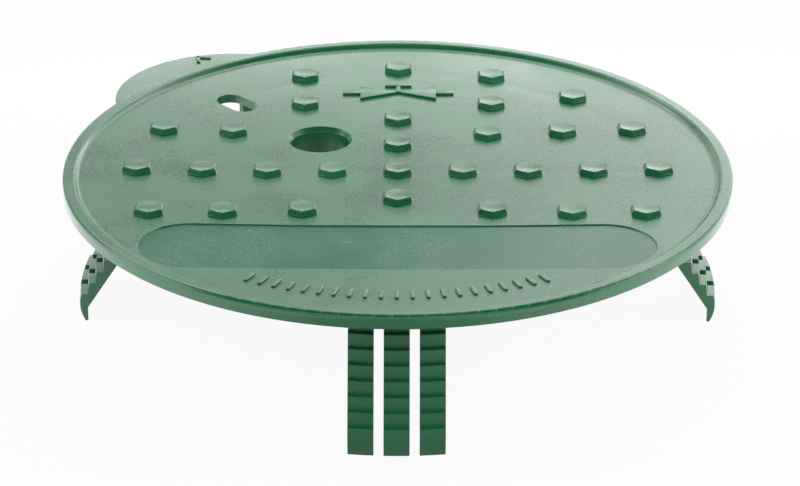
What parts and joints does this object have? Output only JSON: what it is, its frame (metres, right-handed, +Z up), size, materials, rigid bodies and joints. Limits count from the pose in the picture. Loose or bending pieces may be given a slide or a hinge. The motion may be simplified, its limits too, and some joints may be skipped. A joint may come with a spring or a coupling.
{
  "type": "valve box lid",
  "caption": "Round plastic lid for a buried irrigation valve box, with hexagonal grip studs on top, a side ear and groups of stepped fingers below.",
  "frame": {"origin": "on the lid's axis, level with the tips of the fingers, under the middle of the bounding box", "axes": "+Z up along the lid's axis, out of the studded top; -Y towards the front, the side with the label panel; the ear is at the back left, at 135 degrees from +X"},
  "size_m": [0.26, 0.26, 0.06],
  "materials": {
    "lid_plastic": "satin dark green moulded polyethylene"
  },
  "bodies": {
    "root": {"lid": "lid_plastic"}
  },
  "joints": []
}
